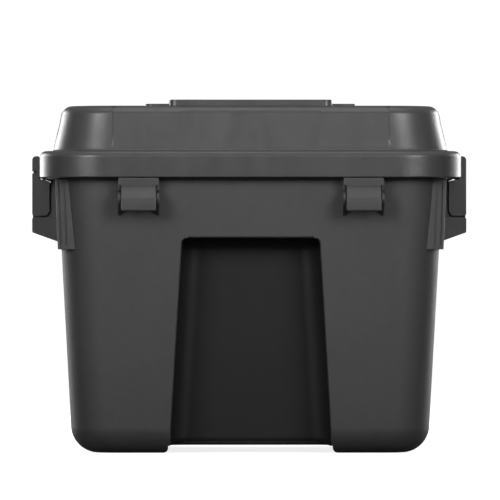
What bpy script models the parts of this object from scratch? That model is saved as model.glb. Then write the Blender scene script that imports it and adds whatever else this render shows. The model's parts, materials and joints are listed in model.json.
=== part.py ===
"""Attached lid tote: a moulded tub, a domed double-wall lid on two hinge clips,
and on each side a lifting handle that carries a pivoting latch.

Lengths are in millimetres until a mesh is made. The tub's plan centre is the local origin,
X is the long side, -Y is the hinge side and Z is up. Each side part is drawn for +X, and the
-X copy is the same part turned half a turn about Z.
"""

import math

import bmesh
import bpy

MM = 0.001
GAP = 0.3
CORNER_SEGMENTS = 9
SMOOTH_ANGLE = math.radians(32)
CENTRE_Y = 5.0  # the hinge clips stand 10 mm proud, so the box centre lies 5 mm nearer the hinge

# Tub
BASE_HALF_X = 163.9
BASE_HALF_Y = 161.2
WALL_SLOPE = 0.054
PLAN_RADIUS = 42.0
PLAN_RADIUS_GROWTH = 2.0 / 253.0
WALL = 3.0
BASE_FILLET = 23.5
TUB_TOP = 271.4
FLANGE_LOW = 257.5
FLANGE_HIGH = 261.0
FLANGE_HALF_X = 187.5
FLANGE_HALF_Y = 181.5

# Recess in the front and rear walls
RECESS_TOP = 197.5
RECESS_HALF_TOP = 62.8
RECESS_HALF_BASE = 74.5
RECESS_DEPTH = 42.0
RECESS_ROOF_RADIUS = 12.0
RECESS_CORNER = 18.0
RECESS_FOOT_RADIUS = 8.0

# Stacking channel under the base
CHANNEL_HEIGHT = 6.6
CHANNEL_HALF = 75.8
POCKET_HALF_X = 100.4
POCKET_HALF_Y = 131.0

# Lid
RIM_LOW = 253.0
RIM_HIGH = 277.5
RIM_HALF_X = 194.0
RIM_HALF_Y = 190.0
RIM_PLAN_RADIUS = 59.0
RIM_EDGE_RADIUS = 6.0
LID_WALL = 3.0
DOME_INSET = 13.0
DOME_TOP = 319.0
DOME_SLOPE = math.tan(math.radians(13.8))
DOME_TOP_RADIUS = 10.0
BAND_TOP = 324.6
BAND_HALF_X = 74.3
BAND_HALF_Y = 160.0
PAD_TOP = 321.3
PAD_HALF_X = 96.5
PAD_HALF_Y = 129.0

# Lid liner
LINER_LOW = 271.7
LINER_HIGH = 274.2
LINER_HALF_X = 187.6
LINER_HALF_Y = 183.6
PAN_LOW = 266.0
PAN_HALF_X = 164.0
PAN_HALF_Y = 158.0
RIB_TOP = 315.6

# Hinges
HINGE_X = 103.0
HINGE_Y = -189.0
HINGE_Z = 233.0
CLIP_HALF = 15.9
STRAP_HALF = 18.3
EAR_INNER = 16.2
EAR_OUTER = 19.0
HINGE_PIN_RADIUS = 2.5

# Side handle and latch
LATCH_U = 196.9
LATCH_Z = 223.1
LATCH_PIN_RADIUS = 2.0
LATCH_HALF = 55.6
SIDE_FACE = 201.9
LATCH_INNER = 185.5
ARM_INNER = 195.0
LATCH_TOP = 273.7
BELT_LOW = 187.0
BELT_HIGH = 252.3
BELT_HALF = 159.0
HOUSING_HALF = 58.0
HOUSING_TOP = 216.7
KEEPER_HALF = 22.0
SCREW_Y = 49.0
SCREW_Z = 205.0
SCREW_RADIUS = 1.8


def clear_scene():
    for item in list(bpy.data.objects):
        bpy.data.objects.remove(item, do_unlink=True)


def plastic(name, grey, roughness):
    material = bpy.data.materials.new(name)
    material.use_nodes = True
    shader = material.node_tree.nodes["Principled BSDF"]
    shader.inputs["Base Color"].default_value = (grey, grey, grey * 1.02, 1.0)
    shader.inputs["Roughness"].default_value = roughness
    shader.inputs["Metallic"].default_value = 0.0
    return material


def steel(name):
    material = plastic(name, 0.45, 0.32)
    material.node_tree.nodes["Principled BSDF"].inputs["Metallic"].default_value = 1.0
    return material


def axis_empty(name, parent, x, y, z):
    empty = bpy.data.objects.new(name, None)
    bpy.context.scene.collection.objects.link(empty)
    empty.parent = parent
    empty.location = (x * MM, y * MM, z * MM)
    return empty


def make_object(name, bm, material=None):
    bmesh.ops.recalc_face_normals(bm, faces=bm.faces)
    mesh = bpy.data.meshes.new(name)
    bm.to_mesh(mesh)
    bm.free()
    if material:
        mesh.materials.append(material)
    for polygon in mesh.polygons:
        polygon.use_smooth = True
    mesh.set_sharp_from_angle(angle=SMOOTH_ANGLE)
    obj = bpy.data.objects.new(name, mesh)
    bpy.context.scene.collection.objects.link(obj)
    return obj


def ring_points(half_x, half_y, radius, z, segments=CORNER_SEGMENTS):
    """A rounded rectangle at height z, anticlockwise from above."""
    points = []
    for quarter in range(4):
        centre_x = (half_x - radius) * (1 if quarter in (0, 3) else -1)
        centre_y = (half_y - radius) * (1 if quarter in (0, 1) else -1)
        for step in range(segments + 1):
            angle = math.pi / 2 * (quarter + step / segments)
            x = centre_x + radius * math.cos(angle)
            y = centre_y + radius * math.sin(angle)
            points.append((x, y, z))
    return points


def loft(name, rings, material=None):
    """A closed body through rings of equal point counts, capped at both ends."""
    bm = bmesh.new()
    rows = [[bm.verts.new([c * MM for c in point]) for point in ring] for ring in rings]
    for low, high in zip(rows, rows[1:]):
        for j in range(len(low)):
            k = (j + 1) % len(low)
            bm.faces.new((low[j], low[k], high[k], high[j]))
    bm.faces.new(rows[0][::-1])
    bm.faces.new(rows[-1])
    return make_object(name, bm, material)


def block(name, low, high, material=None):
    corners = [(low[0], low[1]), (high[0], low[1]), (high[0], high[1]), (low[0], high[1])]
    return loft(name, [[(x, y, z) for x, y in corners] for z in (low[2], high[2])], material)


def prism_y(name, profile, y_low, y_high, material=None):
    """A profile of (x, z) points pushed along Y."""
    return loft(name, [[(x, y, z) for x, z in profile] for y in (y_high, y_low)], material)


def prism_x(name, profile, x_low, x_high, material=None):
    """A profile of (y, z) points pushed along X."""
    return loft(name, [[(x, y, z) for y, z in profile] for x in (x_low, x_high)], material)


def arc(centre, radius, start, end, steps):
    """Points (a, b) round a centre, angles in degrees."""
    points = []
    for step in range(steps + 1):
        angle = math.radians(start + (end - start) * step / steps)
        a = centre[0] + radius * math.cos(angle)
        b = centre[1] + radius * math.sin(angle)
        points.append((a, b))
    return points


def disc(centre, radius, steps=24):
    return arc(centre, radius, 0, 360, steps)[:-1]


def combine(target, operation, tools):
    """Adds or cuts each tool with a live Boolean, and hides the tool."""
    for tool in tools:
        modifier = target.modifiers.new(tool.name, "BOOLEAN")
        modifier.operation = operation
        modifier.solver = "EXACT"
        modifier.object = tool
        tool.hide_render = True
        tool.display_type = "WIRE"
        tool.hide_set(True)


def attach(obj, frame, offset):
    """Parents an object, and the tools that shape it, to a frame at this offset from the tub."""
    for item in [obj] + tools_of(obj):
        item.parent = frame
        item.location = tuple(-value * MM for value in offset)


def tools_of(obj):
    found = []
    for modifier in obj.modifiers:
        if modifier.type == "BOOLEAN":
            found.append(modifier.object)
            found.extend(tools_of(modifier.object))
    return found


def turn_half(obj):
    """Turns an object and its tools half a turn about Z."""
    for item in [obj] + tools_of(obj):
        for vertex in item.data.vertices:
            vertex.co.x = -vertex.co.x
            vertex.co.y = -vertex.co.y
    return obj


def tub_ring(z, inset):
    grown = WALL_SLOPE * z
    radius = max(PLAN_RADIUS + PLAN_RADIUS_GROWTH * z - inset, 8.0)
    return ring_points(BASE_HALF_X + grown - inset, BASE_HALF_Y + grown - inset, radius, z)


def tub_rings(offset, top):
    rings = []
    turn = BASE_FILLET - offset
    for step in range(7):
        angle = math.pi / 2 * step / 6
        z = BASE_FILLET - turn * math.cos(angle)
        rings.append(tub_ring(z, BASE_FILLET - turn * math.sin(angle)))
    rings.append(tub_ring(top, offset))
    return rings


def recess_section(z, half, back_y, radius):
    """A U in plan, open past the rear wall at -Y, its round corners at the back of the recess."""
    far = BASE_HALF_Y + WALL_SLOPE * 260 + 30
    points = [(half, -far), (half, back_y - radius)]
    for centre_x, start in ((half - radius, 0), (-half + radius, 90)):
        corner = arc((centre_x, back_y - radius), radius, start, start + 90, 6)
        points.extend(corner[1:] if centre_x > 0 else corner[:-1])
    points.extend([(-half, back_y - radius), (-half, -far)])
    return [(x, y, z) for x, y in points]


def recess_tool(name, grow, side):
    """The recess cutter. It is grown by the wall thickness where it shapes the inside."""
    rings = []
    top = RECESS_TOP + grow
    low = CHANNEL_HEIGHT + grow
    heights = [(-10.0, RECESS_FOOT_RADIUS), (low, RECESS_FOOT_RADIUS)]
    for step in range(1, 5):
        angle = math.pi / 2 * step / 4
        z = low + RECESS_FOOT_RADIUS * (1 - math.cos(angle))
        heights.append((z, RECESS_FOOT_RADIUS * (1 - math.sin(angle))))
    for step in range(5):
        angle = math.pi / 2 * step / 4
        z = top - RECESS_ROOF_RADIUS + RECESS_ROOF_RADIUS * math.sin(angle)
        heights.append((z, -RECESS_ROOF_RADIUS * (1 - math.cos(angle))))
    for z, deeper in heights:
        share = min(max(z / RECESS_TOP, -0.1), 1.1)
        half = RECESS_HALF_BASE + (RECESS_HALF_TOP - RECESS_HALF_BASE) * share + grow
        wall_y = BASE_HALF_Y + WALL_SLOPE * max(z, 0.0)
        back_y = -(wall_y - RECESS_DEPTH) + deeper + grow
        rings.append(recess_section(z, half, back_y, RECESS_CORNER + grow * 0.5))
    tool = loft(name, rings)
    if side > 0:
        turn_half(tool)
    return tool


def channel_tools(name, grow):
    """The stacking channel: a wide pocket in the middle and a narrower way out to each end."""
    high = CHANNEL_HEIGHT + grow
    way = (CHANNEL_HALF + grow, 260.0)
    pocket = (POCKET_HALF_X + grow, POCKET_HALF_Y + grow)
    tools = []
    for label, (half_x, half_y) in (("way", way), ("pocket", pocket)):
        rings = []
        for z, spread in ((-8.0, 6.5), (0.0, 6.5), (1.2, 3.4), (3.0, 1.2), (6.0, 0.2), (high, 0.0)):
            wide = half_x + (spread if grow == 0 else 0.0)
            deep = half_y + (spread if grow == 0 and label == "pocket" else 0.0)
            rings.append(ring_points(wide, deep, 3.0, min(z, high), 2))
        tools.append(loft(f"{name}_{label}", rings))
    return tools


def ear_profile():
    """A gusset from the wall and the flange that ends in a round eye for the hinge pin."""
    eye = arc((HINGE_Y, HINGE_Z), 6.2, 90, 290, 12)
    points = [(-182.4, 259.0), (-182.4, 244.5), (-186.0, 240.0)]
    points.extend(eye)
    points.extend([(-171.6, 217.0), (-171.9, 259.0)])
    return points


def screw_bore(name, side, hand, u_low, u_high):
    circle = disc((hand * SCREW_Y, SCREW_Z), SCREW_RADIUS + GAP, 16)
    near, far = sorted((side * u_low, side * u_high))
    return prism_x(name, circle, near, far)


def make_tub(material):
    tub = loft("tote_body", tub_rings(0.0, TUB_TOP), material)
    low, high = FLANGE_LOW, FLANGE_HIGH
    sizes = (FLANGE_HALF_X, FLANGE_HALF_Y, 52.0)
    flange = loft("flange", [ring_points(*sizes, low), ring_points(*sizes, high)])
    ears = []
    for side in (-1, 1):
        for hand in (-1, 1):
            near, far = sorted((hand * EAR_INNER, hand * EAR_OUTER))
            centre = side * HINGE_X
            ears.append(prism_x(f"ear_{side}_{hand}", ear_profile(), centre + near, centre + far))
    bores = []
    for side in (-1, 1):
        centre = side * HINGE_X
        circle = disc((HINGE_Y, HINGE_Z), HINGE_PIN_RADIUS + GAP)
        bores.append(prism_x(f"ear_bore_{side}", circle, centre - 30, centre + 30))
        for hand in (-1, 1):
            bores.append(screw_bore(f"wall_bore_{side}_{hand}", side, hand, 163.0, 180.0))
    cavity = loft("tub_cavity", tub_rings(WALL, TUB_TOP + 12))
    combine(cavity, "DIFFERENCE", [recess_tool(f"recess_inside_{s}", WALL, s) for s in (-1, 1)])
    combine(cavity, "DIFFERENCE", channel_tools("channel_inside", WALL))
    combine(tub, "UNION", [flange] + ears)
    combine(tub, "DIFFERENCE", [cavity])
    combine(tub, "DIFFERENCE", [recess_tool(f"recess_{s}", 0.0, s) for s in (-1, 1)])
    combine(tub, "DIFFERENCE", channel_tools("channel", 0.0))
    combine(tub, "DIFFERENCE", bores)
    return tub


def lid_ring(inset, z):
    radius = max(RIM_PLAN_RADIUS - inset * 0.6, 8.0)
    return ring_points(RIM_HALF_X - inset, RIM_HALF_Y - inset, radius, z)


def lid_rings(wall, low):
    """Rim, ledge and dome, all moved inwards by a wall thickness."""
    rings = [lid_ring(wall, low)]
    for step in range(6):
        angle = math.pi / 2 * step / 5
        turn = RIM_EDGE_RADIUS - wall
        inset = RIM_EDGE_RADIUS - turn * math.cos(angle)
        rings.append(lid_ring(inset, RIM_HIGH - RIM_EDGE_RADIUS + turn * math.sin(angle)))
    foot = DOME_INSET + wall
    rings.append(lid_ring(foot - 1.2, RIM_HIGH - wall))
    rings.append(lid_ring(foot, RIM_HIGH - wall + 1.6))
    shoulder = DOME_TOP - DOME_TOP_RADIUS
    top_turn = DOME_TOP_RADIUS - wall
    lean = foot + (shoulder - RIM_HIGH) * DOME_SLOPE
    for step in range(6):
        angle = math.radians(14 + 76 * step / 5)
        inset = lean + top_turn * (math.cos(math.radians(14)) - math.cos(angle))
        rings.append(lid_ring(inset, shoulder + top_turn * math.sin(angle)))
    return rings


def stack_tools(name, shrink, low):
    tools = []
    band = ("band", BAND_HALF_X, BAND_HALF_Y, BAND_TOP)
    pad = ("pad", PAD_HALF_X, PAD_HALF_Y, PAD_TOP)
    for label, half_x, half_y, top in (band, pad):
        wide, deep, high = half_x - shrink, half_y - shrink, top - shrink
        rings = [
            ring_points(wide + 0.6, deep + 0.6, 6.0, low, 3),
            ring_points(wide + 0.4, deep + 0.4, 6.0, high - 1.0, 3),
            ring_points(wide - 0.6, deep - 0.6, 6.0, high, 3),
        ]
        tools.append(loft(f"{name}_{label}", rings))
    return tools


def make_lid(material):
    lid = loft("lid_shell", lid_rings(0.0, RIM_LOW), material)
    inside = loft("lid_inside", lid_rings(LID_WALL, RIM_LOW - 8))
    combine(inside, "UNION", stack_tools("core", LID_WALL, DOME_TOP - LID_WALL - 4))
    combine(lid, "UNION", stack_tools("stack", 0.0, DOME_TOP - 2))
    combine(lid, "DIFFERENCE", [inside])
    keepers = []
    for side in (-1, 1):
        near, far = sorted((side * (RIM_HALF_X - 1.8), side * (RIM_HALF_X + 4)))
        low, high = (near, -KEEPER_HALF, 260.0), (far, KEEPER_HALF, 267.6)
        keepers.append(block(f"keeper_{side}", low, high))
    combine(lid, "DIFFERENCE", keepers)
    return lid


def make_liner(material):
    """Inner panel of the double-wall lid: a shallow pan with crossed ribs under the dome."""
    sizes = (LINER_HALF_X, LINER_HALF_Y, 53.0)
    liner = loft("lid_liner", [ring_points(*sizes, LINER_LOW), ring_points(*sizes, LINER_HIGH)], material)
    sheet = LINER_HIGH - LINER_LOW
    outside = [ring_points(PAN_HALF_X - 3, PAN_HALF_Y - 3, 34, PAN_LOW)]
    outside.append(ring_points(PAN_HALF_X, PAN_HALF_Y, 36, LINER_HIGH - 1))
    inside = [ring_points(PAN_HALF_X - 5.5, PAN_HALF_Y - 5.5, 32, PAN_LOW + sheet)]
    inside.append(ring_points(PAN_HALF_X - 2.5, PAN_HALF_Y - 2.5, 34, LINER_HIGH + 6))
    ribs = []
    for index in (-1, 0, 1):
        low, high = PAN_LOW + 1, RIB_TOP
        ribs.append(block(f"rib_x_{index}", (-141, index * 62 - 1.1, low), (141, index * 62 + 1.1, high)))
        ribs.append(block(f"rib_y_{index}", (index * 62 - 1.1, -136, low), (index * 62 + 1.1, 136, high)))
    combine(liner, "UNION", [loft("pan_outside", outside)])
    combine(liner, "DIFFERENCE", [loft("pan_inside", inside)])
    combine(liner, "UNION", ribs)
    return liner


def make_clip(name, centre, material):
    """Hinge clip: a foot inside the rim, a strap below it and a knuckle that turns on the pin."""
    knuckle = [(-188.3, 251.0), (-188.3, 245.5), (-199.2, 234.4), (-200.0, 232.6), (-200.0, 222.8)]
    knuckle.extend([(-199.2, 222.0), (-197.0, 222.0), (-196.2, 227.4)])
    knuckle.extend(arc((HINGE_Y, HINGE_Z), 6.4, 216, 395, 14))
    knuckle.extend([(-184.0, 240.0), (-184.0, 251.0)])
    clip = prism_x(name, knuckle[::-1], centre - CLIP_HALF, centre + CLIP_HALF, material)
    strap_low = (centre - STRAP_HALF, -188.3, 245.4)
    strap = block(f"{name}_strap", strap_low, (centre + STRAP_HALF, -184.1, RIM_LOW - GAP))
    foot_low = (centre - STRAP_HALF, -186.6, 250.0)
    foot = block(f"{name}_foot", foot_low, (centre + STRAP_HALF, -184.2, 268.0))
    combine(clip, "UNION", [strap, foot])
    circle = disc((HINGE_Y, HINGE_Z), HINGE_PIN_RADIUS + GAP)
    combine(clip, "DIFFERENCE", [prism_x(f"{name}_bore", circle, centre - 40, centre + 40)])
    return clip


def make_hinge_pin(name, centre, material):
    """A plain pin that ends just inside the faces of the ears."""
    end = EAR_OUTER - 0.4
    rings = []
    for x, radius in ((-end, 1.9), (0.6 - end, HINGE_PIN_RADIUS), (end - 0.6, HINGE_PIN_RADIUS), (end, 1.9)):
        rings.append([(centre + x, y, z) for y, z in disc((HINGE_Y, HINGE_Z), radius)])
    return loft(name, rings, material)


def wall_u(z):
    """Distance from the middle to the outside of the tub's side wall at height z."""
    return BASE_HALF_X + WALL_SLOPE * z


def make_belt(name, material):
    """The flat belt that lies on the side wall, follows its corners and ends in two square posts."""
    section = [(156.0, BELT_LOW), (176.7, BELT_LOW), (177.1, BELT_LOW + 0.6)]
    section.extend([(179.6, BELT_HIGH - 0.5), (179.2, BELT_HIGH), (156.0, BELT_HIGH)])
    belt = prism_y(name, section, -BELT_HALF, BELT_HALF, material)
    post = [(168.2, 190.4), (174.9, 190.4), (177.0, 249.0), (170.4, 249.0)]
    cuts = [loft(f"{name}_seat", tub_rings(-GAP, TUB_TOP))]
    for side in (-1, 1):
        near, far = sorted((side * (BELT_HALF - 2.4), side * (BELT_HALF + 2)))
        cuts.append(prism_y(f"{name}_post_{side}", post, near, far))
    combine(belt, "DIFFERENCE", cuts)
    return belt


def make_handle(name, hand, material):
    """Side handle: a belt on the wall, a lifting housing on it and two lugs for the latch pin."""
    handle = make_belt(name, material)
    housing = [(177.2, 194.0), (201.1, 202.6), (201.9, 203.8)]
    housing.extend([(SIDE_FACE, HOUSING_TOP - 1.0), (SIDE_FACE - 1.0, HOUSING_TOP), (177.2, HOUSING_TOP)])
    parts = [prism_y(f"{name}_housing", housing, -HOUSING_HALF, HOUSING_HALF)]
    lug = [(178.0, 214.0), (LATCH_U + 4.4, 214.0)]
    lug.extend(arc((LATCH_U, LATCH_Z), 4.4, 0, 120, 8))
    lug.extend([(184.7, 236.0), (184.7, 251.6), (178.0, 251.6)])
    lip = [(178.0, 246.0), (179.4, 248.4), (182.5, 249.3), (185.5, 250.6), (188.5, 251.7)]
    lip.extend([(188.5, 252.5), (178.0, 252.5)])
    parts.append(prism_y(f"{name}_lip", lip, -LATCH_HALF, LATCH_HALF))
    for side in (-1, 1):
        near, far = sorted((side * 48.0, side * 52.0))
        parts.append(prism_y(f"{name}_lug_{side}", lug, near, far))
    combine(handle, "UNION", parts)
    pocket = [(181.8, 188.0), (199.2, 188.0), (199.2, 211.0), (196.6, 213.6), (184.4, 213.6), (181.8, 211.0)]
    circle = disc((LATCH_U, LATCH_Z), LATCH_PIN_RADIUS + GAP)
    cuts = [
        prism_y(f"{name}_pocket", pocket, -54.0, 54.0),
        prism_y(f"{name}_bore", circle, -60.0, 60.0),
    ]
    cuts.extend(screw_bore(f"{name}_hole_{side}", 1, side, 170.0, 180.0) for side in (-1, 1))
    combine(handle, "DIFFERENCE", cuts)
    return handle if hand > 0 else turn_half(handle)


def latch_profile():
    """Lever section: the arm lies beside the lid's rim, above a grip that fills the space below it."""
    points = arc((SIDE_FACE - 2.5, 220.6), 2.5, 0, -90, 4)
    points.extend([(188.4, 218.1), (LATCH_INNER, 222.6), (LATCH_INNER, 249.9), (188.0, 250.9)])
    points.extend([(190.5, 251.6), (193.0, 252.0), (ARM_INNER, 252.2)])
    points.extend([(ARM_INNER, LATCH_TOP - 0.8), (ARM_INNER + 0.8, LATCH_TOP)])
    points.extend(arc((SIDE_FACE - 3.6, LATCH_TOP - 3.6), 3.6, 90, 0, 5))
    return points[::-1]


def make_latch(name, hand, material):
    latch = prism_y(name, latch_profile(), -LATCH_HALF, LATCH_HALF, material)
    nib = [(196.0, 262.2), (193.4, 262.2), (192.7, 263.0), (192.7, 264.2), (194.0, 265.6), (196.0, 265.6)]
    combine(latch, "UNION", [prism_y(f"{name}_nib", nib, -20.0, 20.0)])
    cuts = []
    for low, high in ((5.0, 40.0), (47.3, 52.5)):
        for side in (-1, 1):
            near, far = sorted((side * low, side * high))
            label = f"{name}_hollow_{low:.0f}_{side}"
            cuts.append(block(label, (180.0, near, 210.0), (198.9, far, 246.8)))
    for side in (-1, 1):
        near, far = sorted((side * 47.3, side * 52.5))
        cuts.append(block(f"{name}_slot_{side}", (195.0, near, 205.0), (212.0, far, LATCH_Z + 4.8)))
    groove = [(197.7, 258.1), (198.2, 257.7), (204.0, 257.5), (204.0, 260.3), (198.2, 260.1), (197.7, 259.7)]
    cuts.append(prism_y(f"{name}_groove", groove, -46.0, 60.0))
    circle = disc((LATCH_U, LATCH_Z), LATCH_PIN_RADIUS + GAP)
    ends = (-54.3, 60.0) if hand > 0 else (-60.0, 54.3)
    cuts.append(prism_y(f"{name}_bore", circle, *ends))
    combine(latch, "DIFFERENCE", cuts)
    return latch if hand > 0 else turn_half(latch)


def make_latch_pin(name, hand, material):
    rings = []
    for y, radius in ((54.0, 1.6), (53.4, LATCH_PIN_RADIUS), (-53.4, LATCH_PIN_RADIUS), (-54.0, 1.6)):
        rings.append([(x, y, z) for x, z in disc((LATCH_U, LATCH_Z), radius, 20)])
    pin = loft(name, rings, material)
    return pin if hand > 0 else turn_half(pin)


def make_screw(name, hand, side, material):
    """A pan-head screw put in from inside the tub, through its wall, into the handle."""
    seat = wall_u(SCREW_Z - 5) - WALL - GAP
    sections = [(seat - 2.6, 2.4), (seat - 2.0, 3.7), (seat - 0.8, 4.2), (seat, 4.2)]
    sections.extend([(seat, SCREW_RADIUS), (178.8, SCREW_RADIUS), (179.6, 1.2)])
    rings = []
    for x, radius in sections:
        rings.append([(x, y, z) for y, z in disc((side * SCREW_Y, SCREW_Z), radius, 16)])
    screw = loft(name, rings, material)
    return screw if hand > 0 else turn_half(screw)


def main():
    clear_scene()
    body_grey = plastic("tub_plastic", 0.058, 0.55)
    lid_grey = plastic("lid_plastic", 0.075, 0.5)
    clip_grey = plastic("clip_plastic", 0.095, 0.5)
    side_grey = plastic("side_plastic", 0.048, 0.5)
    inner_grey = plastic("liner_plastic", 0.06, 0.6)
    pin_steel = steel("pin_steel")
    tote = axis_empty("tote", None, 0, CENTRE_Y, 0)
    lid = axis_empty("lid_axis", tote, 0, HINGE_Y, HINGE_Z)
    lid_offset = (0, HINGE_Y, HINGE_Z)
    attach(make_tub(body_grey), tote, (0, 0, 0))
    attach(make_lid(lid_grey), lid, lid_offset)
    attach(make_liner(inner_grey), lid, lid_offset)
    for side, hand in (("left", -1), ("right", 1)):
        centre = hand * HINGE_X
        attach(make_clip(f"hinge_clip_{side}", centre, clip_grey), lid, lid_offset)
        attach(make_hinge_pin(f"hinge_pin_{side}", centre, pin_steel), tote, (0, 0, 0))
        attach(make_handle(f"side_handle_{side}", hand, side_grey), tote, (0, 0, 0))
        attach(make_latch_pin(f"latch_pin_{side}", hand, pin_steel), tote, (0, 0, 0))
        for end, place in (("rear", -1), ("front", 1)):
            screw = make_screw(f"handle_screw_{side}_{end}", hand, place * hand, pin_steel)
            attach(screw, tote, (0, 0, 0))
        latch_offset = (hand * LATCH_U, 0, LATCH_Z)
        frame = axis_empty(f"latch_axis_{side}", tote, *latch_offset)
        attach(make_latch(f"latch_{side}", hand, side_grey), frame, latch_offset)


main()
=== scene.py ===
"""Attached lid tote in dark grey moulded plastic, on a pale floor in soft studio light.

Lengths below are millimetres measured from the middle of the tub, as in the CAD, and become metres
when a mesh is made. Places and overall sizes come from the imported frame.
"""

import json
import math

import bmesh
import bpy
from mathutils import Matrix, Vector


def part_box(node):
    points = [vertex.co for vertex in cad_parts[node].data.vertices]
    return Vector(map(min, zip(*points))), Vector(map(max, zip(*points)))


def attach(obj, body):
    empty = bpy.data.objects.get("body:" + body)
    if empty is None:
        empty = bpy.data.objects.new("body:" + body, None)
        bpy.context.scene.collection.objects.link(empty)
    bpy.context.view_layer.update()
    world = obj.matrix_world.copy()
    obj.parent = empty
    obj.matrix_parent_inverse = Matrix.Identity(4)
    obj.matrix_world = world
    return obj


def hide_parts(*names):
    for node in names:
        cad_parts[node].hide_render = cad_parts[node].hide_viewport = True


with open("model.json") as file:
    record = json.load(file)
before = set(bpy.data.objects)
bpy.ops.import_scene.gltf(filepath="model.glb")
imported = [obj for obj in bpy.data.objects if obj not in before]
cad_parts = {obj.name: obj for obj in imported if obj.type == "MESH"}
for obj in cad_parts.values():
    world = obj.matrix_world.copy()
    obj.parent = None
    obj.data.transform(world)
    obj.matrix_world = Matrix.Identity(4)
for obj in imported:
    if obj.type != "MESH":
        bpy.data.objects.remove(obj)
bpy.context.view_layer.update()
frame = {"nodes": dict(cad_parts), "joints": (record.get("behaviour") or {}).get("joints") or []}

MM = 0.001


def node_box(node):
    low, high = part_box(node)
    return [v / MM for v in low], [v / MM for v in high]


def joint_place(name):
    for joint in frame["joints"]:
        if joint["name"] == name:
            return [v / MM for v in joint["pos_m"]]
    raise KeyError(name)


LID_LOW, LID_HIGH = node_box("lid_shell")
TUB_HIGH = node_box("tote_body")[1]
LATCH_LOW, LATCH_HIGH = node_box("latch_right")
HANDLE_LOW, HANDLE_HIGH = node_box("side_handle_right")
CLIP_LOW, CLIP_HIGH = node_box("hinge_clip_right")
LINER_BOX_LOW, LINER_BOX_HIGH = node_box("lid_liner")
CENTRE_Y = (LID_LOW[1] + LID_HIGH[1]) / 2

# Lid
RIM_LOW = LID_LOW[2]
RIM_HIGH = RIM_LOW + 24.5
RIM_EDGE = 6.0
LEDGE = 13.0
FOOT_ROUND = 2.4
RIM_HALF_X = (LID_HIGH[0] - LID_LOW[0]) / 2
RIM_HALF_Y = (LID_HIGH[1] - LID_LOW[1]) / 2
BAND_TOP = LID_HIGH[2]
DOME_TOP = BAND_TOP - 5.6
PAD_TOP = BAND_TOP - 3.3
DOME_SLOPE = math.tan(math.radians(13.8))
DOME_LEAN = math.radians(14)
DOME_RISE = math.radians(76)
DOME_ROUND = 10.0
BAND_HALF = (74.3, 160.0)
PAD_HALF = (96.5, 129.0)

# Tub
TUB_TOP = TUB_HIGH[2]
SLOPE = 0.054
BASE_X = 163.9
BASE_Y = 161.2
FILLET = 23.5
WALL = 3.0
RECESS_TOP = 197.5
RECESS_HALF = 74.5
RECESS_LEAN = 11.7
RECESS_DEPTH = 42.0
CHANNEL = 6.6
CHANNEL_HALF = (75.8, 260.0)
POCKET_HALF = (100.4, 131.0)
CHANNEL_ROUND = 4.6
SCREW_Y, SCREW_Z = 49.0, 205.0
SCREW_HOLE = 2.1

# Hinge
HINGE = joint_place("lid_hinge")
HINGE_Y = HINGE[1] - CENTRE_Y
HINGE_Z = HINGE[2]
HINGE_X = (CLIP_LOW[0] + CLIP_HIGH[0]) / 2
HINGE_BORE = 2.8
EAR_INNER, EAR_OUTER = 16.2, 19.0
CLIP_HALF = 15.9
STRAP_HALF = 18.3

# Side handle and latch
PIVOT = joint_place("latch_right_pivot")
PIVOT_U, PIVOT_Z = PIVOT[0], PIVOT[2]
SIDE_FACE = LATCH_HIGH[0]
LATCH_INNER = LATCH_LOW[0]
LATCH_HALF = (LATCH_HIGH[1] - LATCH_LOW[1]) / 2
BELT_HALF = (HANDLE_HIGH[1] - HANDLE_LOW[1]) / 2
BELT_LOW, BELT_HIGH = HANDLE_LOW[2], HANDLE_HIGH[2]
HOUSING_HALF = 58.0
LATCH_BORE = 2.3

# Camera, in metres
CAMERA_DISTANCE = 8.0
CAMERA_TURN = math.radians(0.76)
CAMERA_HEIGHT = 0.1865
CAMERA_ASIDE = 0.0014
PICTURE_WIDTH = 0.46815

# Studio
ROOM = 0.42
ROOM_BACK = 0.45
ROOM_LOW = 0.3
ROOM_TOP = 1.1
FLOOR_GLOW = 0.82
FLOOR_FLAT = 32.0
FLOOR_BEND = 8.0
CARD_RADIUS = 0.62


# ---------------------------------------------------------------- camera, light and floor

def add_camera():
    """A long lens well back: upright lines stay upright and depth hardly changes size."""
    data = bpy.data.cameras.new("camera")
    data.sensor_width = 36.0
    data.lens = data.sensor_width * CAMERA_DISTANCE / PICTURE_WIDTH
    data.clip_end = 150
    camera = bpy.data.objects.new("camera", data)
    bpy.context.scene.collection.objects.link(camera)
    across = CAMERA_ASIDE - CAMERA_DISTANCE * math.sin(CAMERA_TURN)
    back = CENTRE_Y * MM - CAMERA_DISTANCE * math.cos(CAMERA_TURN)
    camera.location = (across, back, CAMERA_HEIGHT)
    camera.rotation_euler = (math.radians(90), 0, -CAMERA_TURN)
    bpy.context.scene.camera = camera


def add_light(name, place, target, size, power, spread=180):
    data = bpy.data.lights.new(name, "AREA")
    data.shape = "RECTANGLE"
    data.size, data.size_y = size
    data.energy = power
    data.spread = math.radians(spread)
    light = bpy.data.objects.new(name, data)
    bpy.context.scene.collection.objects.link(light)
    light.location = place
    aim = Vector(target) - Vector(place)
    light.rotation_euler = aim.to_track_quat("-Z", "Y").to_euler()


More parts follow.
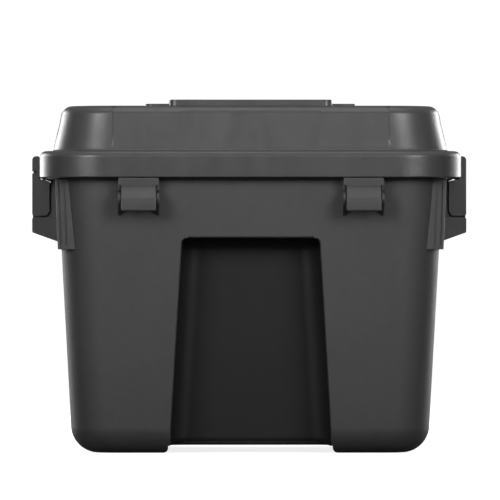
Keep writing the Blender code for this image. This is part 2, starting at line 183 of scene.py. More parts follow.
def add_world():
    """A soft room: bright in front and above, dimmer behind, and dim below the horizon."""
    world = bpy.data.worlds.new("studio")
    bpy.context.scene.world = world
    world.use_nodes = True
    nodes, links = world.node_tree.nodes, world.node_tree.links
    split = nodes.new("ShaderNodeSeparateXYZ")
    links.new(nodes.new("ShaderNodeTexCoord").outputs["Generated"], split.inputs["Vector"])

    def ramp(value, low, high, to_low, to_high):
        node = nodes.new("ShaderNodeMapRange")
        node.interpolation_type = "SMOOTHSTEP"
        settings = (("From Min", low), ("From Max", high), ("To Min", to_low), ("To Max", to_high))
        for socket, number in settings:
            node.inputs[socket].default_value = number
        links.new(value, node.inputs["Value"])
        return node.outputs["Result"]

    depth = ramp(split.outputs["Y"], -0.75, 0.15, 1.0, ROOM_BACK)
    height = ramp(split.outputs["Z"], -0.25, 0.3, ROOM_LOW, 1.0)
    product = nodes.new("ShaderNodeMath")
    product.operation = "MULTIPLY"
    links.new(depth, product.inputs[0])
    links.new(height, product.inputs[1])
    lifted = nodes.new("ShaderNodeMath")
    lifted.operation = "MAXIMUM"
    links.new(product.outputs["Value"], lifted.inputs[0])
    links.new(ramp(split.outputs["Z"], 0.25, 0.9, 0.0, ROOM_TOP), lifted.inputs[1])
    strength = nodes.new("ShaderNodeMath")
    strength.operation = "MULTIPLY"
    strength.inputs[1].default_value = ROOM
    links.new(lifted.outputs["Value"], strength.inputs[0])
    background = nodes["Background"]
    background.inputs["Color"].default_value = (1.0, 1.0, 1.0, 1.0)
    links.new(strength.outputs["Value"], background.inputs["Strength"])


def add_studio():
    """Two keys in front, two fills behind and one soft light above."""
    add_world()
    for side, hand in (("left", -1), ("right", 1)):
        key_place, key_aim = (hand * 1.0, -1.65, 0.85), (-hand * 0.05, 0, 0.5)
        add_light(f"{side}_key", key_place, key_aim, (0.7, 0.7), 2.6, 50)
        add_light(f"{side}_back", (hand * 1.3, 1.5, 0.5), (0, 0, 0.15), (0.9, 0.9), 22)
    add_light("top_soft", (0.0, -0.25, 1.6), (0, -0.05, 0.2), (1.4, 0.5), 5)
    bpy.context.scene.view_settings.view_transform = "Standard"


def camera_only(obj):
    """Seen by the camera and shaded by the object, but it sends no light back."""
    obj.visible_diffuse = False
    obj.visible_glossy = False
    obj.visible_transmission = False
    obj.visible_shadow = False


def add_floor():
    """A pale floor that sweeps up into a pale wall all round, and a dark card under the tote."""
    bm = bmesh.new()
    profile = [(0.02, 0.0), (1.0, 0.0), (3.0, 0.0), (10.0, 0.0), (FLOOR_FLAT, 0.0)]
    for step in range(1, 9):
        turn = step * math.pi / 16
        profile.append((FLOOR_FLAT + FLOOR_BEND * math.sin(turn), FLOOR_BEND * (1 - math.cos(turn))))
    profile.extend([(40.0, 42.0), (28.0, 60.0), (0.02, 66.0)])
    rows = []
    for radius, z in profile:
        ring = []
        for step in range(72):
            angle = 2 * math.pi * step / 72
            ring.append(bm.verts.new((radius * math.cos(angle), radius * math.sin(angle), z)))
        rows.append(ring)
    for low, high in zip(rows, rows[1:]):
        for k in range(72):
            bm.faces.new((low[k], low[(k + 1) % 72], high[(k + 1) % 72], high[k]))
    bm.faces.new(rows[0])
    mesh = bpy.data.meshes.new("floor")
    bm.to_mesh(mesh)
    bm.free()
    for polygon in mesh.polygons:
        polygon.use_smooth = True
    floor = bpy.data.objects.new("floor", mesh)
    bpy.context.scene.collection.objects.link(floor)
    floor.location = (0, 0, -0.0004)
    material = bpy.data.materials.new("pale_floor")
    material.use_nodes = True
    shader = material.node_tree.nodes["Principled BSDF"]
    shader.inputs["Base Color"].default_value = (0.6, 0.6, 0.6, 1)
    shader.inputs["Roughness"].default_value = 0.9
    shader.inputs["Specular IOR Level"].default_value = 0.0
    shader.inputs["Emission Color"].default_value = (1, 1, 1, 1)
    shader.inputs["Emission Strength"].default_value = FLOOR_GLOW
    mesh.materials.append(material)
    camera_only(floor)

    bm = bmesh.new()
    bmesh.ops.create_circle(bm, cap_ends=True, radius=CARD_RADIUS, segments=64)
    mesh = bpy.data.meshes.new("card")
    bm.to_mesh(mesh)
    bm.free()
    card = bpy.data.objects.new("card", mesh)
    bpy.context.scene.collection.objects.link(card)
    card.location = (0, 0, -0.0008)
    material = bpy.data.materials.new("dark_card")
    material.use_nodes = True
    shader = material.node_tree.nodes["Principled BSDF"]
    shader.inputs["Base Color"].default_value = (0.12, 0.12, 0.12, 1)
    shader.inputs["Roughness"].default_value = 0.9
    mesh.materials.append(material)
    card.visible_camera = False
    card.visible_shadow = False


# ---------------------------------------------------------------- materials

class Graph:
    """Short hand for wiring one material's nodes."""

    def __init__(self, name):
        self.material = bpy.data.materials.new(name)
        self.material.use_nodes = True
        self.nodes = self.material.node_tree.nodes
        self.links = self.material.node_tree.links
        self.shader = self.nodes["Principled BSDF"]
        self.place = self.nodes.new("ShaderNodeTexCoord").outputs["Object"]

    def stretch(self, scale, turn=(0, 0, 0)):
        node = self.nodes.new("ShaderNodeMapping")
        node.inputs["Scale"].default_value = scale
        node.inputs["Rotation"].default_value = turn
        self.links.new(self.place, node.inputs["Vector"])
        return node.outputs["Vector"]

    def noise(self, scale, detail=2.0, rough=0.5, vector=None):
        node = self.nodes.new("ShaderNodeTexNoise")
        node.inputs["Scale"].default_value = scale
        node.inputs["Detail"].default_value = detail
        node.inputs["Roughness"].default_value = rough
        self.links.new(vector or self.place, node.inputs["Vector"])
        return node.outputs["Fac"]

    def cells(self, scale, randomness=1.0):
        node = self.nodes.new("ShaderNodeTexVoronoi")
        node.feature = "SMOOTH_F1"
        node.inputs["Scale"].default_value = scale
        node.inputs["Smoothness"].default_value = 0.6
        node.inputs["Randomness"].default_value = randomness
        self.links.new(self.place, node.inputs["Vector"])
        return node.outputs["Distance"]

    def spread(self, value, low, high, to_low, to_high):
        node = self.nodes.new("ShaderNodeMapRange")
        node.inputs["From Min"].default_value = low
        node.inputs["From Max"].default_value = high
        node.inputs["To Min"].default_value = to_low
        node.inputs["To Max"].default_value = to_high
        self.links.new(value, node.inputs["Value"])
        return node.outputs["Result"]

    def sum(self, first, second, operation="ADD"):
        node = self.nodes.new("ShaderNodeMath")
        node.operation = operation
        self.links.new(first, node.inputs[0])
        self.links.new(second, node.inputs[1])
        return node.outputs["Value"]

    def shade(self, value, dark, light):
        node = self.nodes.new("ShaderNodeMix")
        node.data_type = "RGBA"
        node.inputs["A"].default_value = (*dark, 1)
        node.inputs["B"].default_value = (*light, 1)
        self.links.new(value, node.inputs["Factor"])
        return node.outputs["Result"]

    def bump(self, height, distance, strength, below=None):
        node = self.nodes.new("ShaderNodeBump")
        node.inputs["Distance"].default_value = distance
        node.inputs["Strength"].default_value = strength
        self.links.new(height, node.inputs["Height"])
        if below:
            self.links.new(below, node.inputs["Normal"])
        return node.outputs["Normal"]

    def feed(self, socket, value):
        self.links.new(value, self.shader.inputs[socket])


def moulded(name, grey, rough, grain=1.0, level=0.5):
    """Injection-moulded polypropylene: an even spark-eroded grain, faint flow and handling marks."""
    g = Graph(name)
    drift = g.noise(7.0, 3.0, 0.6)
    mottle = g.noise(95.0, 3.0, 0.55)
    mixed = g.sum(g.spread(drift, 0.3, 0.7, 0.0, 0.6), g.spread(mottle, 0.3, 0.7, 0.0, 0.4))
    dark = tuple(c * 0.86 for c in grey)
    light = tuple(c * 1.14 for c in grey)
    g.feed("Base Color", g.shade(mixed, dark, light))
    scuffs = g.noise(38.0, 5.0, 0.7, g.stretch((1.0, 1.0, 0.22), (0.2, 0.1, 0.0)))
    worn = g.spread(scuffs, 0.35, 0.75, 0.045, -0.075)
    fine = g.spread(g.noise(420.0, 2.0), 0.3, 0.7, rough - 0.03, rough + 0.03)
    g.feed("Roughness", g.sum(fine, worn))
    pits = g.cells(1150.0 / grain)
    grain_bump = g.bump(pits, 0.00016, 0.42)
    soft = g.noise(16.0, 2.0, 0.4)
    g.feed("Normal", g.bump(soft, 0.0011, 0.16, grain_bump))
    g.shader.inputs["Specular IOR Level"].default_value = level
    return g.material


def plated_steel(name):
    g = Graph(name)
    lines = g.noise(900.0, 2.0, 0.6, g.stretch((0.05, 1.0, 1.0)))
    g.feed("Base Color", g.shade(g.noise(60.0, 3.0), (0.10, 0.10, 0.10), (0.16, 0.16, 0.16)))
    g.feed("Roughness", g.spread(lines, 0.3, 0.7, 0.24, 0.42))
    g.feed("Normal", g.bump(lines, 0.00004, 0.3))
    g.shader.inputs["Metallic"].default_value = 1.0
    return g.material


# ---------------------------------------------------------------- mesh helpers

def new_object(name, bm):
    bmesh.ops.recalc_face_normals(bm, faces=bm.faces)
    mesh = bpy.data.meshes.new(name)
    bm.to_mesh(mesh)
    bm.free()
    obj = bpy.data.objects.new(name, mesh)
    bpy.context.scene.collection.objects.link(obj)
    return obj


def soften(bm, width, segments=2, angle=38):
    """Rounds every edge sharper than the angle."""
    edges = [e for e in bm.edges if e.is_manifold and e.calc_face_angle(0) > math.radians(angle)]
    bmesh.ops.bevel(
        bm,
        geom=edges,
        offset=width * MM,
        segments=segments,
        profile=0.5,
        affect="EDGES",
        clamp_overlap=True,
    )


def loft(name, rings, round_by=0.0, flip=False):
    """A closed body through rings of equal point counts. flip turns it half a turn about Z."""
    turn = -1 if flip else 1
    bm = bmesh.new()
    rows = []
    for ring in rings:
        row = []
        for x, y, z in ring:
            row.append(bm.verts.new((turn * x * MM, (turn * y + CENTRE_Y) * MM, z * MM)))
        rows.append(row)
    for low, high in zip(rows, rows[1:]):
        for j in range(len(low)):
            k = (j + 1) % len(low)
            bm.faces.new((low[j], low[k], high[k], high[j]))
    bm.faces.new(rows[0][::-1])
    bm.faces.new(rows[-1])
    bmesh.ops.recalc_face_normals(bm, faces=bm.faces)
    if round_by:
        soften(bm, round_by)
    return new_object(name, bm)


def block(name, low, high, round_by=0.0, flip=False):
    corners = [(low[0], low[1]), (high[0], low[1]), (high[0], high[1]), (low[0], high[1])]
    return loft(name, [[(x, y, z) for x, y in corners] for z in (low[2], high[2])], round_by, flip)


def prism_y(name, profile, y_low, y_high, round_by=0.0, flip=False):
    """A profile of (x, z) points pushed along Y."""
    return loft(name, [[(x, y, z) for x, z in profile] for y in (y_high, y_low)], round_by, flip)


def prism_x(name, profile, x_low, x_high, round_by=0.0, flip=False):
    """A profile of (y, z) points pushed along X."""
    return loft(name, [[(x, y, z) for y, z in profile] for x in (x_low, x_high)], round_by, flip)


def arc(centre, radius, start, end, steps):
    points = []
    for step in range(steps + 1):
        angle = math.radians(start + (end - start) * step / steps)
        points.append((centre[0] + radius * math.cos(angle), centre[1] + radius * math.sin(angle)))
    return points


def disc(centre, radius, steps=48):
    return arc(centre, radius, 0, 360, steps)[:-1]


def combine(target, steps):
    """Applies each (operation, tool) Boolean and removes the tools."""
    for operation, tool in steps:
        modifier = target.modifiers.new(tool.name, "BOOLEAN")
        modifier.operation = operation
        modifier.solver = "EXACT"
        modifier.object = tool
    bpy.context.view_layer.update()
    graph = bpy.context.evaluated_depsgraph_get()
    mesh = bpy.data.meshes.new_from_object(target.evaluated_get(graph))
    target.modifiers.clear()
    target.data = mesh
    for _, tool in steps:
        bpy.data.objects.remove(tool, do_unlink=True)
    return target


def finish_piece(obj, body, node, material, bevel=0.0):
    mesh = obj.data
    mesh.materials.clear()
    mesh.materials.append(material)
    for polygon in mesh.polygons:
        polygon.use_smooth = True
        polygon.material_index = 0
    if bevel:
        rounding = obj.modifiers.new("edge_round", "BEVEL")
        rounding.width = bevel * MM
        rounding.segments = 2
        rounding.limit_method = "ANGLE"
        rounding.angle_limit = math.radians(42)
        rounding.use_clamp_overlap = True
    mesh.set_sharp_from_angle(angle=math.radians(34))
    weighted = obj.modifiers.new("normals", "WEIGHTED_NORMAL")
    weighted.keep_sharp = True
    weighted.weight = 60
    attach(obj, body)
    if node:
        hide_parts(node)
    return obj


def ring_points(half_x, half_y, radius, z, segments=22):
    points = []
    for quarter in range(4):
        centre_x = (half_x - radius) * (1 if quarter in (0, 3) else -1)
        centre_y = (half_y - radius) * (1 if quarter in (0, 1) else -1)
        for step in range(segments + 1):
            angle = math.pi / 2 * (quarter + step / segments)
            x = centre_x + radius * math.cos(angle)
            y = centre_y + radius * math.sin(angle)
            points.append((x, y, z))
    return points


# ---------------------------------------------------------------- tub

def tub_ring(z, inset):
    radius = max(42.0 + z * 2 / 253 - inset, 8.0)
    return ring_points(BASE_X + SLOPE * z - inset, BASE_Y + SLOPE * z - inset, radius, z)


def tub_rings(offset):
    """Outside at offset 0, inside at the wall thickness. The top edge is rounded on both sides."""
    turn = FILLET - offset
    rings = []
    for step in range(15):
        angle = math.pi / 2 * step / 14
        rings.append(tub_ring(FILLET - turn * math.cos(angle), FILLET - turn * math.sin(angle)))
    for z in (60.0, 120.0, 180.0, 230.0):
        rings.append(tub_ring(z, offset))
    sign = 1 if offset == 0 else -1
    for drop, inset in ((1.3, 0.0), (0.65, 0.17), (0.2, 0.55), (0.0, 1.2)):
        rings.append(tub_ring(TUB_TOP - drop, offset + sign * inset))
    if offset:
        rings.append(tub_ring(TUB_TOP + 6, offset - 1.2))
    return rings


def recess_section(z, half, back_y, mouth_y, flare, radius):
    """The recess in plan, with a rounded mouth. It runs past the rear wall."""
    points = [(half + flare, -250.0)]
    points.extend(arc((half + flare, mouth_y + flare - 0.12), flare, 270, 180, 6))
    radius = min(radius, max((back_y - mouth_y - flare) * 0.8, 0.05))
    centre = back_y - radius
    points.extend(arc((half - radius, centre), radius, 0, 90, 10))
    points.extend(arc((-half + radius, centre), radius, 90, 180, 10))
    points.extend(arc((-half - flare, mouth_y + flare - 0.12), flare, 0, -90, 6))
    points.append((-half - flare, -250.0))
    return [(x, y, z) for x, y in points]


def recess_tool(name, grow, flip):
    flare = 2.6 if grow == 0 else 0.4
    top = RECESS_TOP + grow
    low = CHANNEL + grow
    heights = [(-10.0, 8.0), (low, 8.0)]
    for step in range(1, 9):
        angle = math.pi / 2 * step / 8
        heights.append((low + 8.0 * (1 - math.cos(angle)), 8.0 * (1 - math.sin(angle))))
    for z in (50.0, 90.0, 130.0, 160.0):
        heights.append((z, 0.0))
    for step in range(11):
        angle = math.pi / 2 * step / 10
        heights.append((top - 12.0 + 12.0 * math.sin(angle), -12.0 * (1 - math.cos(angle))))
    rings = []
    for z, deeper in heights:
        share = min(max(z / RECESS_TOP, -0.1), 1.1)
        half = RECESS_HALF - RECESS_LEAN * share + grow
        edge = max(z - (top - 5.0), 0.0)
        half -= 5.0 - math.sqrt(max(25.0 - edge * edge, 0.0))
        mouth_y = -(BASE_Y + SLOPE * max(z, 0.0))
        back_y = mouth_y + RECESS_DEPTH + deeper + grow
        rings.append(recess_section(z, half, back_y, mouth_y, flare, 18.0 + grow * 0.5))
    half_top = RECESS_HALF - RECESS_LEAN + grow - 5.0
    if grow == 0:
        for step in range(1, 6):
            angle = math.radians(15 * step)
            z = top + flare * (1 - math.cos(angle))
            mouth_y = -(BASE_Y + SLOPE * z)
            back_y = mouth_y + flare * (1 - math.sin(angle)) - 0.1
            rings.append(recess_section(z, half_top, back_y, mouth_y - 8.0, flare, 0.4))
    return loft(name, rings, 0.0, flip)


def channel_tools(name, grow):
    tools = []
    high = CHANNEL + grow
    for label, (half_x, half_y) in (("way", CHANNEL_HALF), ("pocket", POCKET_HALF)):
        if grow:
            rings = [ring_points(half_x + grow, half_y + grow, 4.0, -8.0, 5)]
        else:
            rings = [ring_points(half_x + CHANNEL_ROUND, half_y + CHANNEL_ROUND, 6.0, -8.0, 5)]
            for step in range(9):
                left = CHANNEL_ROUND * math.cos(math.pi / 2 * step / 8)
                out = CHANNEL_ROUND - math.sqrt(max(CHANNEL_ROUND**2 - left**2, 0.0))
                rings.append(ring_points(half_x + out, half_y + out, 6.0, CHANNEL_ROUND - left, 5))
        rings.append(ring_points(half_x + grow, half_y + grow, 4.0 if grow else 6.0, high, 5))
        tools.append(loft(f"{name}_{label}", rings))
    return tools


def ear_profile():
    points = [(-182.4, 259.0), (-182.4, 244.5), (-184.0, 241.4)]
    points.extend(arc((HINGE_Y, HINGE_Z), 6.2, 88, 292, 26))
    points.extend([(-171.6, 217.0), (-171.9, 259.0)])
    return points


def in_recess(polygon):
    """Whether a face of the tub lines either recess; these faces get a much darker grey as painted shade."""
    x, y, z = polygon.center / MM
    y = abs(y - CENTRE_Y)
    wall = BASE_Y + SLOPE * z
    half = RECESS_HALF - RECESS_LEAN * z / RECESS_TOP + 0.6
    if abs(x) >= half or not 0.5 < z < RECESS_TOP + 0.5 or not wall - 43.0 < y < wall - 1.6:
        return False
    out_y = math.copysign(30.0, polygon.center.y / MM - CENTRE_Y)
    return polygon.normal.y * out_y - polygon.normal.x * x > 0 or polygon.normal.z < -0.3


def make_tub(material, panel):
    tub = loft("tub_shell", tub_rings(0.0))
    flange = []
    for z, inset in ((257.5, 0.8), (257.8, 0.25), (258.3, 0.0), (260.2, 0.0), (260.8, 0.25), (261.0, 0.8)):
        flange.append(ring_points(187.5 - inset, 181.5 - inset, 52.0 - inset, z))
    steps = [("UNION", loft("flange", flange))]
    for side in (-1, 1):
        for hand in (-1, 1):
            near, far = sorted(side * HINGE_X + hand * reach for reach in (EAR_INNER, EAR_OUTER))
            ear = prism_x(f"ear_{side}_{hand}", ear_profile(), near, far, 0.45)
            steps.append(("UNION", ear))
    cavity = loft("cavity", tub_rings(WALL))
    inner = [("DIFFERENCE", recess_tool(f"inner_{s}", WALL, s)) for s in (False, True)]
    inner.extend(("DIFFERENCE", tool) for tool in channel_tools("inner", WALL))
    combine(cavity, inner)
    steps.append(("DIFFERENCE", cavity))
    steps.extend(("DIFFERENCE", recess_tool(f"outer_{s}", 0.0, s)) for s in (False, True))
    steps.extend(("DIFFERENCE", tool) for tool in channel_tools("outer", 0.0))
    for side in (-1, 1):
        centre = side * HINGE_X
        circle = disc((HINGE_Y, HINGE_Z), HINGE_BORE)
        steps.append(("DIFFERENCE", prism_x(f"ear_bore_{side}", circle, centre - 30, centre + 30)))
        for hand in (-1, 1):
            circle = disc((hand * SCREW_Y, SCREW_Z), SCREW_HOLE, 28)
            near, far = sorted((side * 163.0, side * 180.0))
            steps.append(("DIFFERENCE", prism_x(f"wall_bore_{side}_{hand}", circle, near, far)))
    combine(tub, steps)
    finish_piece(tub, "tote", "tote_body", material)
    # The second slot is painted shade: a near-black grey with weak specular on every recess face darkens the
    # recesses in their colour.
    tub.data.materials.append(panel)
    for polygon in tub.data.polygons:
        if in_recess(polygon):
            polygon.material_index = 1
    return tub


# ---------------------------------------------------------------- lid

def lid_ring(inset, z, panel=0.0):
    """Rim outline moved in by inset. panel lifts the flat faces of the dome by a shallow step."""
    radius = max(59.0 - inset * 0.6, 8.0)
    half_x, half_y = RIM_HALF_X - inset, RIM_HALF_Y - inset
    plain = ring_points(half_x, half_y, radius, z, 26)
    ends = [(-126.9, 0.0), (-126.2, 0.5), (-64.6, 0.5), (-64.0, 0.15)]
    ends += [(64.0, 0.15), (64.6, 0.5), (126.2, 0.5), (126.9, 0.0)]
    flanks = [(-123.4, 0.0), (-122.8, 0.5), (122.8, 0.5), (123.4, 0.0)]
    edges = [
        [(-x, half_y + rise * panel, z) for x, rise in ends],
        [(-half_x - rise * panel, -y, z) for y, rise in flanks],
        [(x, -half_y - rise * panel, z) for x, rise in ends],
        [(half_x + rise * panel, y, z) for y, rise in flanks],
    ]
    points = []
    for quarter, edge in enumerate(edges):
        points.extend(plain[quarter * 27:(quarter + 1) * 27])
        points.extend(edge)
    return points


def lid_rings(wall):
    rings = []
    if wall:
        rings.append(lid_ring(wall, RIM_LOW - 8))
    else:
        for rise, inset in ((0.0, 1.0), (0.12, 0.55), (0.5, 0.14), (1.0, 0.0)):
            rings.append(lid_ring(inset, RIM_LOW + rise))
    turn = RIM_EDGE - wall
    for step in range(13):
        angle = math.pi / 2 * step / 12
        inset, up = RIM_EDGE - turn * math.cos(angle), turn * math.sin(angle)
        rings.append(lid_ring(inset, RIM_HIGH - RIM_EDGE + up))
    foot = LEDGE + wall - FOOT_ROUND
    ledge = RIM_HIGH - wall
    for step in range(7):
        angle = DOME_RISE * step / 6
        lean = foot + FOOT_ROUND * math.sin(angle)
        rise = ledge + FOOT_ROUND * (1 - math.cos(angle))
        rings.append(lid_ring(lean, rise))
    panel = 0.0 if wall else 1.0
    for high, lift in ((1.6, 0.0), (2.6, 1.0), (12.0, 1.0), (24.0, 1.0)):
        rings.append(lid_ring(lean + high * DOME_SLOPE, rise + high, lift * panel))
    shoulder = DOME_TOP - DOME_ROUND
    inset = lean + (shoulder - rise) * DOME_SLOPE
    round_by = DOME_ROUND - wall
    for step in range(13):
        angle = DOME_LEAN + DOME_RISE * step / 12
        moved = inset + round_by * (math.cos(DOME_LEAN) - math.cos(angle))
        lift = panel if step < 3 else 0.0
        rings.append(lid_ring(moved, shoulder + round_by * math.sin(angle), lift))
    return rings


def stack_tools(name, shrink, low):
    tools = []
    for label, (half_x, half_y), top in (("band", BAND_HALF, BAND_TOP), ("pad", PAD_HALF, PAD_TOP)):
        wide, deep, high = half_x - shrink, half_y - shrink, top - shrink
        rings = [ring_points(wide + 0.6, deep + 0.6, 7.0, low, 8)]
        for step in range(7):
            angle = math.pi / 2 * step / 6
            out = 0.4 - 1.2 * (1 - math.cos(angle))
            rings.append(ring_points(wide + out, deep + out, 7.0, high - 1.2 + 1.2 * math.sin(angle), 8))
        tools.append(loft(f"{name}_{label}", rings))
    return tools


def make_lid(material):
    lid = loft("lid_cover", lid_rings(0.0))
    inside = loft("lid_hollow", lid_rings(WALL))
    combine(inside, [("UNION", t) for t in stack_tools("core", WALL, DOME_TOP - WALL - 4)])
    steps = [("UNION", tool) for tool in stack_tools("stack", 0.0, DOME_TOP - 2)]
    steps.append(("DIFFERENCE", inside))
    for side in (-1, 1):
        near, far = sorted((side * (RIM_HALF_X - 1.8), side * (RIM_HALF_X + 4)))
        steps.append(("DIFFERENCE", block(f"keeper_{side}", (near, -22.0, 260.0), (far, 22.0, 267.6))))
    combine(lid, steps)
    return finish_piece(lid, "lid", "lid_shell", material)


def make_liner(material):
    low, high = LINER_BOX_LOW[2] + 5.7, LINER_BOX_LOW[2] + 8.2
    liner = loft("lid_inner_panel", [ring_points(187.6, 183.6, 53.0, z) for z in (low, high)], 0.5)
    pan = LINER_BOX_LOW[2]
    outside = []
    for rise, inset in ((0.0, 5.2), (0.5, 3.6), (1.8, 2.6), (high - 1 - pan, 0.0)):
        outside.append(ring_points(164.0 - inset, 158.0 - inset, 36.0 - inset * 0.6, pan + rise))
    inside = [ring_points(158.5, 152.5, 32, pan + 2.5), ring_points(161.5, 155.5, 34, high + 6)]
    steps = [("UNION", loft("pan_outside", outside)), ("DIFFERENCE", loft("pan_inside", inside))]
    top = LINER_BOX_HIGH[2]
    for index in (-1, 0, 1):
        near, far = index * 62 - 1.1, index * 62 + 1.1
        steps.append(("UNION", block(f"rib_x_{index}", (-141, near, pan + 1), (141, far, top))))
        steps.append(("UNION", block(f"rib_y_{index}", (near, -136, pan + 1), (far, 136, top))))
    combine(liner, steps)
    return finish_piece(liner, "lid", "lid_liner", material)


# ---------------------------------------------------------------- hinge clips

def make_clip(side, material):
    hand = 1 if side == "right" else -1
    centre = hand * HINGE_X
    front = CLIP_LOW[1] - CENTRE_Y
    knuckle = [(-188.3, 251.0), (-188.3, 245.5), (front + 0.8, 234.4), (front, 232.6)]
    knuckle.extend([(front, 222.8), (front + 0.8, 222.0), (-197.0, 222.0), (-196.2, 227.4)])
    knuckle.extend(arc((HINGE_Y, HINGE_Z), 6.4, 216, 395, 28))
    knuckle.extend([(-184.0, 240.0), (-184.0, 251.0)])
    clip = prism_x(f"clip_{side}", knuckle[::-1], centre - CLIP_HALF, centre + CLIP_HALF, 0.8)
    left, right = centre - STRAP_HALF, centre + STRAP_HALF
    strap = block("strap", (left, -188.3, 245.4), (right, -184.1, RIM_LOW - 0.3), 0.7)
    foot = block("foot", (left, -186.6, 250.0), (right, -184.2, 268.0), 0.4)
    circle = disc((HINGE_Y, HINGE_Z), HINGE_BORE)
    bore = prism_x("bore", circle, centre - 40, centre + 40)
    combine(clip, [("UNION", strap), ("UNION", foot), ("DIFFERENCE", bore)])
    return finish_piece(clip, "lid", f"hinge_clip_{side}", material)


# ---------------------------------------------------------------- side handles and latches

def make_handle(side, material):
    """The belt on the wall with its square end posts, the lifting housing and the two pin lugs."""
    flip = side == "left"
    section = [(156.0, BELT_LOW), (176.7, BELT_LOW), (177.1, BELT_LOW + 0.6)]
    section.extend([(179.6, BELT_HIGH - 0.5), (179.2, BELT_HIGH), (156.0, BELT_HIGH)])
    handle = prism_y(f"handle_{side}", section, -BELT_HALF, BELT_HALF, 0.7, flip)
    seat = loft("belt_seat", tub_rings(-0.3))
    steps = [("DIFFERENCE", seat)]
    post = [(168.2, 190.4), (174.9, 190.4), (177.0, 249.0), (170.4, 249.0)]
    for end in (-1, 1):
        near, far = sorted((end * (BELT_HALF - 2.4), end * (BELT_HALF + 2)))
        steps.append(("DIFFERENCE", prism_y(f"post_{end}", post, near, far, 0.0, flip)))
    top = PIVOT_Z - 6.4
    outer = [(177.2, 194.0), (201.1, 202.6), (SIDE_FACE, 203.8)]
    outer.extend([(SIDE_FACE, top - 1.0), (SIDE_FACE - 1.0, top), (177.2, top)])
    steps.append(("UNION", prism_y("housing", outer, -HOUSING_HALF, HOUSING_HALF, 0.5, flip)))
    lug = [(178.0, 214.0), (PIVOT_U + 4.4, 214.0)]
    lug.extend(arc((PIVOT_U, PIVOT_Z), 4.4, 0, 120, 16))
    lug.extend([(184.7, 236.0), (184.7, 251.6), (178.0, 251.6)])
    lip = [(178.0, 246.0), (179.4, 248.4), (182.5, 249.3), (185.5, 250.6), (188.5, 251.7)]
    lip.extend([(188.5, 252.5), (178.0, 252.5)])
    steps.append(("UNION", prism_y("lip", lip, -LATCH_HALF, LATCH_HALF, 0.0, flip)))
    for end in (-1, 1):
        near, far = sorted((end * 48.0, end * 52.0))
        steps.append(("UNION", prism_y(f"lug_{end}", lug, near, far, 0.25, flip)))
    pocket = [(181.8, 188.0), (199.2, 188.0), (199.2, 211.0), (196.6, 213.6), (184.4, 213.6), (181.8, 211.0)]
    steps.append(("DIFFERENCE", prism_y("pocket", pocket, -54.0, 54.0, 0.0, flip)))
    circle = disc((PIVOT_U, PIVOT_Z), LATCH_BORE, 32)
    steps.append(("DIFFERENCE", prism_y("pin_bore", circle, -60.0, 60.0, 0.0, flip)))
    for end in (-1, 1):
        hole = prism_x(f"hole_{end}", disc((end * SCREW_Y, SCREW_Z), SCREW_HOLE, 28), 170.0, 180.0, 0.0, flip)
        steps.append(("DIFFERENCE", hole))
    combine(handle, steps)
    return finish_piece(handle, "tote", f"side_handle_{side}", material)


def latch_profile():
    top = LATCH_HIGH[2]
    inner = LATCH_INNER
    points = arc((SIDE_FACE - 2.5, PIVOT_Z - 2.5), 2.5, 0, -90, 8)
    points.extend([(188.4, PIVOT_Z - 5.0), (inner, PIVOT_Z - 0.5), (inner, 249.9)])
    points.extend([(188.0, 250.9), (190.5, 251.6), (193.0, 252.0), (195.0, 252.2)])
    points.extend([(195.0, top - 0.8), (195.8, top)])
    points.extend(arc((SIDE_FACE - 3.6, top - 3.6), 3.6, 90, 0, 10))
    return points[::-1]


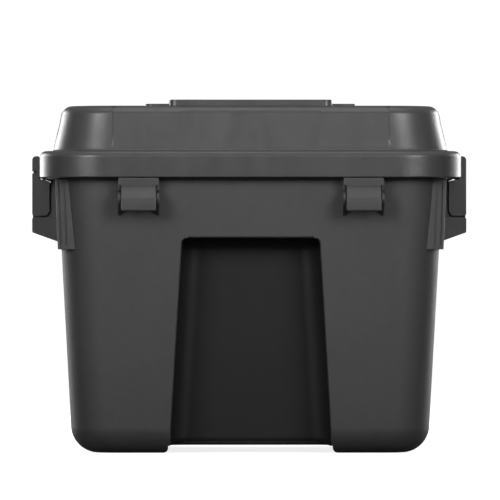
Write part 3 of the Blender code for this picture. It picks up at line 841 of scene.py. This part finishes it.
def make_latch(side, material):
    flip = side == "left"
    latch = prism_y(f"lever_{side}", latch_profile(), -LATCH_HALF, LATCH_HALF, 0.5, flip)
    nib = [(196.0, 262.2), (193.4, 262.2), (192.7, 263.0), (192.7, 264.2), (194.0, 265.6), (196.0, 265.6)]
    steps = [("UNION", prism_y("nib", nib, -20.0, 20.0, 0.0, flip))]
    for low, high in ((5.0, 40.0), (47.3, 52.5)):
        for end in (-1, 1):
            near, far = sorted((end * low, end * high))
            hollow = block(f"hollow_{low}_{end}", (180.0, near, 210.0), (198.9, far, 246.8), 0.0, flip)
            steps.append(("DIFFERENCE", hollow))
    for end in (-1, 1):
        near, far = sorted((end * 47.3, end * 52.5))
        slot = block(f"slot_{end}", (195.0, near, 205.0), (212.0, far, PIVOT_Z + 4.8), 0.0, flip)
        steps.append(("DIFFERENCE", slot))
    groove = [(197.7, 258.1), (198.2, 257.7), (204.0, 257.5), (204.0, 260.3), (198.2, 260.1), (197.7, 259.7)]
    steps.append(("DIFFERENCE", prism_y("groove", groove, -46.0, 60.0, 0.0, flip)))
    circle = disc((PIVOT_U, PIVOT_Z), LATCH_BORE, 32)
    ends = (-60.0, 54.3) if flip else (-54.3, 60.0)
    steps.append(("DIFFERENCE", prism_y("pin_bore", circle, *ends, 0.0, flip)))
    combine(latch, steps)
    body = f"latch_{side}_lever"
    return finish_piece(latch, body, f"latch_{side}", material)


def dress_cad(steel):
    """Pins and screws keep their CAD solids, with plated steel and smooth round sides."""
    for name, obj in frame["nodes"].items():
        if "pin" in name or "screw" in name:
            obj.data.materials.clear()
            obj.data.materials.append(steel)
            smooth = obj.modifiers.new("normals", "WEIGHTED_NORMAL")
            smooth.keep_sharp = True


def main():
    add_camera()
    add_studio()
    add_floor()
    tub_grey = moulded("tub_moulded", (0.030, 0.030, 0.031), 0.6)
    # Painted shade: this darker grey with low specular stands for the shade inside the recesses, not a
    # different plastic.
    recess_shade_grey = moulded("recess_painted_shade", (0.011, 0.011, 0.0112), 0.5, 0.6, 0.22)
    lid_grey = moulded("lid_moulded", (0.033, 0.033, 0.034), 0.38)
    clip_grey = moulded("clip_moulded", (0.027, 0.027, 0.028), 0.42, 0.7)
    side_grey = moulded("side_moulded", (0.030, 0.030, 0.031), 0.5, 0.8)
    liner_grey = moulded("liner_moulded", (0.034, 0.034, 0.035), 0.55, 0.9)
    make_tub(tub_grey, recess_shade_grey)
    make_lid(lid_grey)
    make_liner(liner_grey)
    for side in ("left", "right"):
        make_clip(side, clip_grey)
        make_handle(side, side_grey)
        make_latch(side, side_grey)
    dress_cad(plated_steel("plated_steel"))


main()
